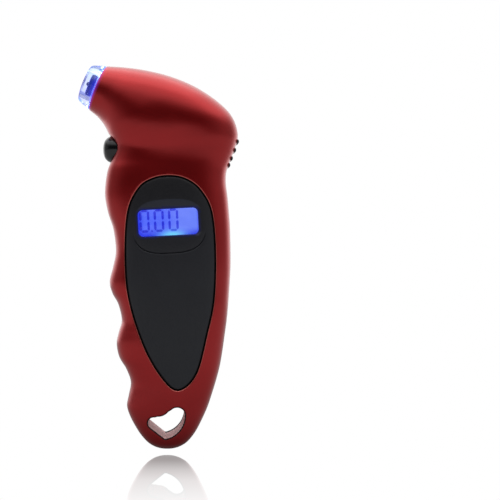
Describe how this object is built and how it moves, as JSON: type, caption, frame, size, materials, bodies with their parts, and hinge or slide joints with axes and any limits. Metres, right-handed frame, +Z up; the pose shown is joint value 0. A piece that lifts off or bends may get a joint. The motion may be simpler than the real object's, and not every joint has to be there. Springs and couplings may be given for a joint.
{
  "type": "tire pressure gauge",
  "caption": "Pistol-shaped handheld digital tire pressure gauge with a lit nozzle, a press button, a backlit display in a black panel, a battery door and a lanyard eye.",
  "frame": {"origin": "bottom centre of the object's box, under the tail of the handle, midway between the nozzle tip and the back of the head, on the parting plane of the casing", "axes": "+Z up the handle, the nozzle points to -X, the display faces -Y, the battery door faces +Y"},
  "size_m": [0.0627, 0.0322, 0.1492],
  "materials": {
    "shell_red": "satin soft-touch paint",
    "panel_black": "fine matte texture",
    "button_black": "smooth",
    "clear": "clear polished plastic",
    "core_blue": "smooth dark blue",
    "rubber": "moulded",
    "brass": "turned",
    "steel": "plated",
    "lcd_blue": "backlit display cell",
    "diffuser": "milky",
    "led_white": "moulded lens",
    "board_green": "solder mask",
    "epoxy": "domed resin",
    "capacitor": "sleeved",
    "sensor_grey": "ceramic and plastic",
    "switch_black": "moulded",
    "tube_grey": "silicone",
    "wire_red": "sleeved",
    "wire_black": "sleeved"
  },
  "bodies": {
    "casing": {"display_shell": "shell_red", "back_shell": "shell_red", "face_panel": "panel_black", "window_lens": "clear", "nozzle_cap": "clear", "nozzle_core": "core_blue", "valve_seal": "rubber", "nozzle_oring": "rubber", "zebra_strip": "rubber", "valve_pin": "brass", "lcd_glass": "lcd_blue", "backlight_diffuser": "diffuser", "backlight_led": "led_white", "nozzle_led": "led_white", "main_board": "board_green", "switch_board": "board_green", "controller_blob": "epoxy", "crystal_can": "steel", "smoothing_capacitor": "capacitor", "pressure_sensor": "sensor_grey", "switch_body": "switch_black", "sensor_tube": "tube_grey", "led_lead_red": "wire_red", "led_lead_black": "wire_black", "switch_lead_red": "wire_red", "switch_lead_black": "wire_black", "battery_lead_red": "wire_red", "battery_lead_black": "wire_black", "coin_cell": "steel", "coin_cell_contact": "steel", "button_cell_1": "steel", "button_cell_2": "steel", "button_cell_3": "steel", "cell_plate": "steel", "cell_spring": "steel", "case_screw_1": "steel", "case_screw_2": "steel", "case_screw_3": "steel", "case_screw_4": "steel"},
    "button": {"button_cap": "button_black", "switch_plunger": "switch_black"},
    "door": {"battery_door": "shell_red"},
    "screw": {"door_screw": "steel"}
  },
  "joints": [
    {"name": "button_press", "type": "slide", "parent": "casing", "child": "button", "axis": [1, 0, 0], "range_m": [0, 0.0006], "stiffness_N_per_m": 900},
    {"name": "door_lift", "type": "slide", "parent": "casing", "child": "door", "axis": [0, 1, 0], "range_m": [0, 0.02]},
    {"name": "door_screw_out", "type": "slide", "parent": "door", "child": "screw", "axis": [0, 1, 0], "range_m": [0, 0.008]}
  ]
}
